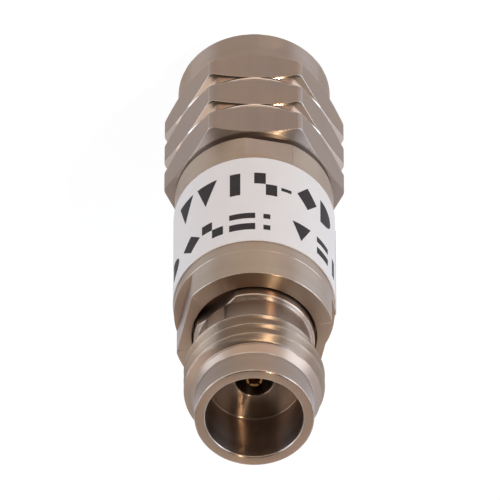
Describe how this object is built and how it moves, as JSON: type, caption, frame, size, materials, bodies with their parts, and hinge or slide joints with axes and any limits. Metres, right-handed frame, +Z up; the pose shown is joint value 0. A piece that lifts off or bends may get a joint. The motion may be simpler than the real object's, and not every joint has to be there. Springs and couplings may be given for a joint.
{
  "type": "rf attenuator",
  "caption": "Coaxial fixed attenuator: a round stainless body with a wrap label, a threaded female connector at one end and a grooved hexagonal coupling nut at the other.",
  "frame": {"origin": "centre of the coupling nut's front face, where the part stands at its male end", "axes": "+Z up the axis towards the female connector's face; +X and +Y lie within two degrees of a corner and of a flat of the coupling nut"},
  "size_m": [0.009, 0.008, 0.0265],
  "materials": {
    "stainless": "turned and passivated",
    "spring_steel": "satin",
    "gold_plate": "gold plated",
    "bead_plastic": "turned",
    "alumina": "fired",
    "label_film": "satin film"
  },
  "bodies": {
    "body": {"body_shell": "stainless", "label": "label_film", "male_shell": "stainless", "male_bead": "bead_plastic", "male_bead_bush": "stainless", "male_pin": "gold_plate", "male_chip_contact": "gold_plate", "chip_carrier_front": "stainless", "chip_carrier_back": "stainless", "attenuator_chip": "alumina", "ground_strip_left": "gold_plate", "ground_strip_right": "gold_plate", "dowel_left": "spring_steel", "dowel_right": "spring_steel", "spring_washer": "spring_steel", "female_shell": "stainless", "female_bead": "bead_plastic", "female_bead_bush": "stainless", "female_socket": "gold_plate", "female_chip_contact": "gold_plate"},
    "retaining_ring": {"nut_retaining_ring": "spring_steel"},
    "nut": {"coupling_nut": "stainless"}
  },
  "joints": [
    {"name": "nut_float", "type": "slide", "parent": "body", "child": "retaining_ring", "axis": [0, 0, 1], "range_m": [-0.0004, 0]},
    {"name": "nut_spin", "type": "hinge", "parent": "retaining_ring", "child": "nut", "pos_m": [0, 0, 0.0042], "axis": [0, 0, 1], "continuous": true}
  ]
}
